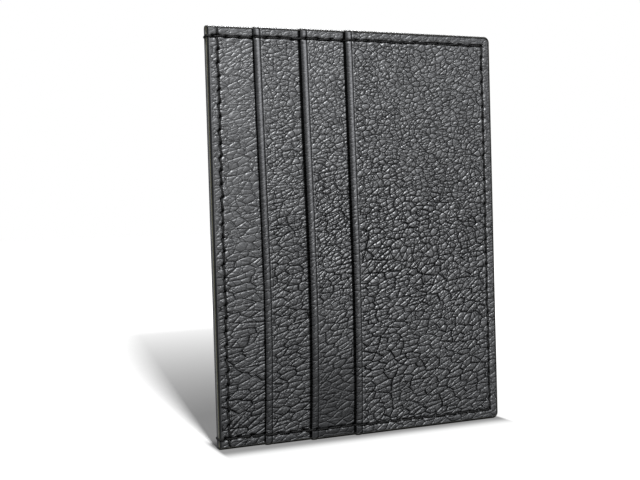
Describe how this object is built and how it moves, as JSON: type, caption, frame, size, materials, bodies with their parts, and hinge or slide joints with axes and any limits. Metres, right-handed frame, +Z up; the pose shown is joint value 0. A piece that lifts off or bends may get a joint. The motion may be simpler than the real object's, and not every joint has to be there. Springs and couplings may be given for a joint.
{
  "type": "card holder",
  "caption": "Slim leather card holder: stepped card pockets on both faces and an open centre pocket, sewn on three sides, shown empty and standing on its short side.",
  "frame": {"origin": "centre of the footprint of the standing edge, on the surface that the holder stands on", "axes": "+X from the open mouth edge to the closed edge, +Y from the front face to the back face, +Z up along the long side"},
  "size_m": [0.0764, 0.008, 0.1],
  "materials": {
    "leather": "black pebbled leather, semi-matt",
    "lining": "black woven lining cloth",
    "thread": "black bonded sewing thread",
    "edge_paint": "black flexible edge paint, satin"
  },
  "bodies": {
    "root": {"front_panel": "leather", "back_panel": "leather", "front_panel_lining": "lining", "back_panel_lining": "lining", "front_mouth_seam": "thread", "back_mouth_seam": "thread", "front_pocket_1": "leather", "front_pocket_2": "leather", "front_pocket_3": "leather", "back_pocket_1": "leather", "back_pocket_2": "leather", "back_pocket_3": "leather", "front_pocket_1_lining": "lining", "front_pocket_2_lining": "lining", "front_pocket_3_lining": "lining", "back_pocket_1_lining": "lining", "back_pocket_2_lining": "lining", "back_pocket_3_lining": "lining", "front_pocket_1_stop_seam": "thread", "front_pocket_2_stop_seam": "thread", "back_pocket_1_stop_seam": "thread", "back_pocket_2_stop_seam": "thread", "front_edge_seam": "thread", "back_edge_seam": "thread", "mouth_tacks": "thread", "edge_coat_top": "edge_paint", "edge_coat_bottom": "edge_paint", "edge_coat_closed": "edge_paint"}
  },
  "joints": []
}
